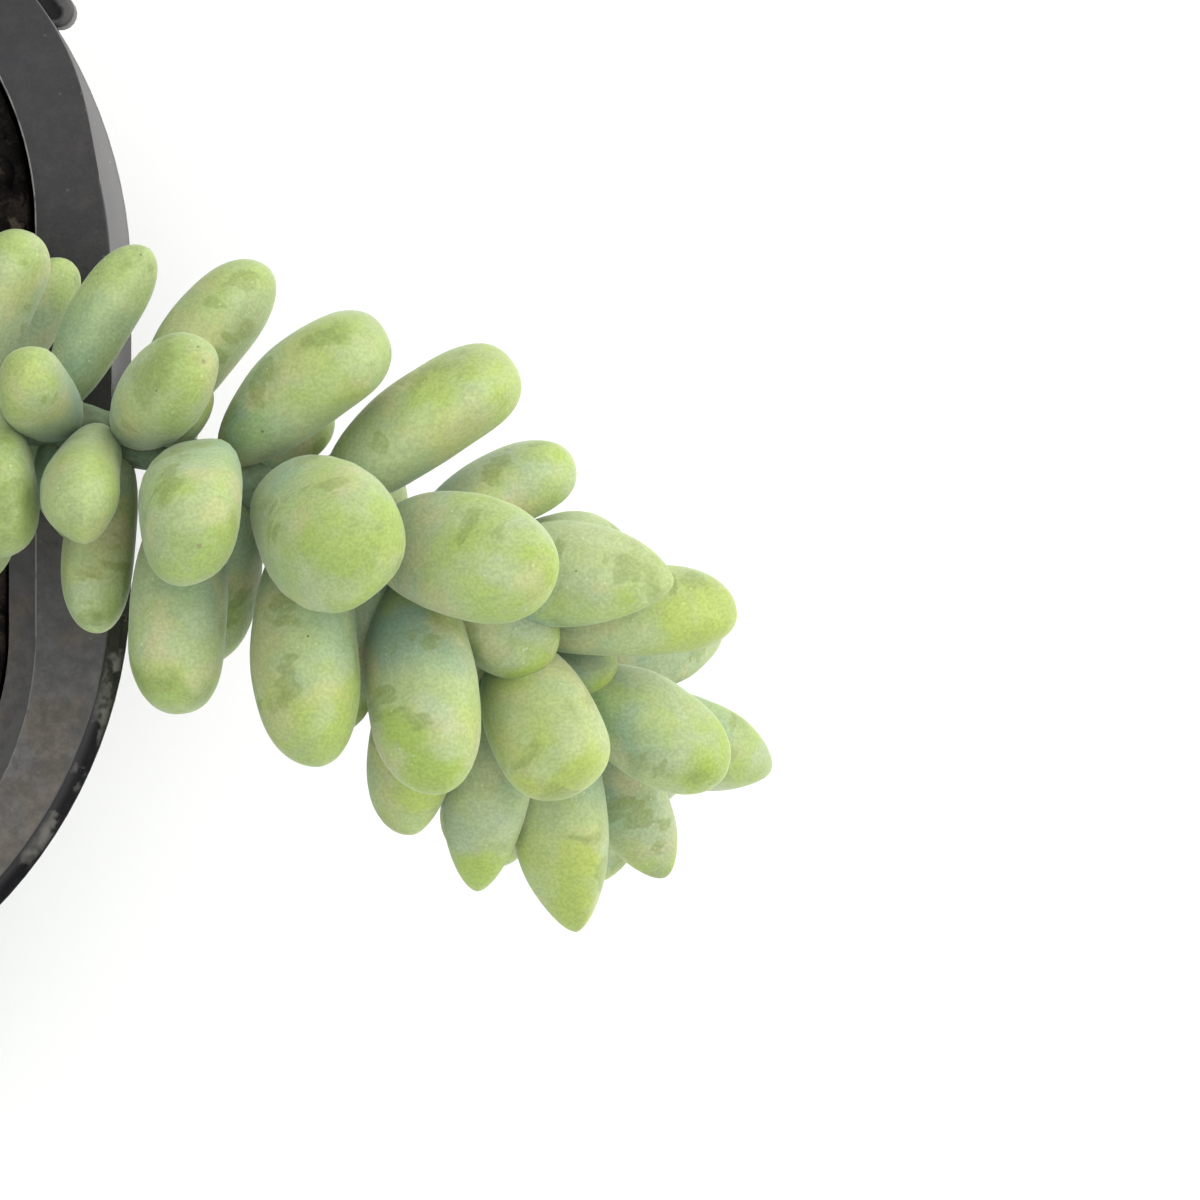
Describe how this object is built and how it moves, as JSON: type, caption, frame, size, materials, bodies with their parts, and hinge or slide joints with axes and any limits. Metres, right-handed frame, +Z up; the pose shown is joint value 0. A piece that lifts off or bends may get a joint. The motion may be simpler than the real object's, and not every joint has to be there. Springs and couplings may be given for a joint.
{
  "type": "potted burro's tail plant",
  "caption": "Trailing succulent with plump blue-green leaves in spirals along arching stems, in a black squarish nursery pot of soil.",
  "frame": {"origin": "middle of the pot's flat base, on the surface that the pot stands on", "axes": "+Z up, out of the pot's mouth; +X towards the side over which the longest visible tail leans out; +Y to its left"},
  "size_m": [0.1943, 0.1698, 0.133],
  "materials": {
    "pot": "moulded black plastic, satin",
    "soil": "dark crumbly potting soil",
    "leaf": "waxy blue-green bloom, yellow-green at the tips"
  },
  "bodies": {
    "root": {"pot": "pot", "soil": "soil", "tail_east": "leaf", "tail_north": "leaf", "tail_northwest": "leaf", "tail_southwest": "leaf", "tail_south": "leaf", "young_shoot": "leaf"}
  },
  "joints": []
}
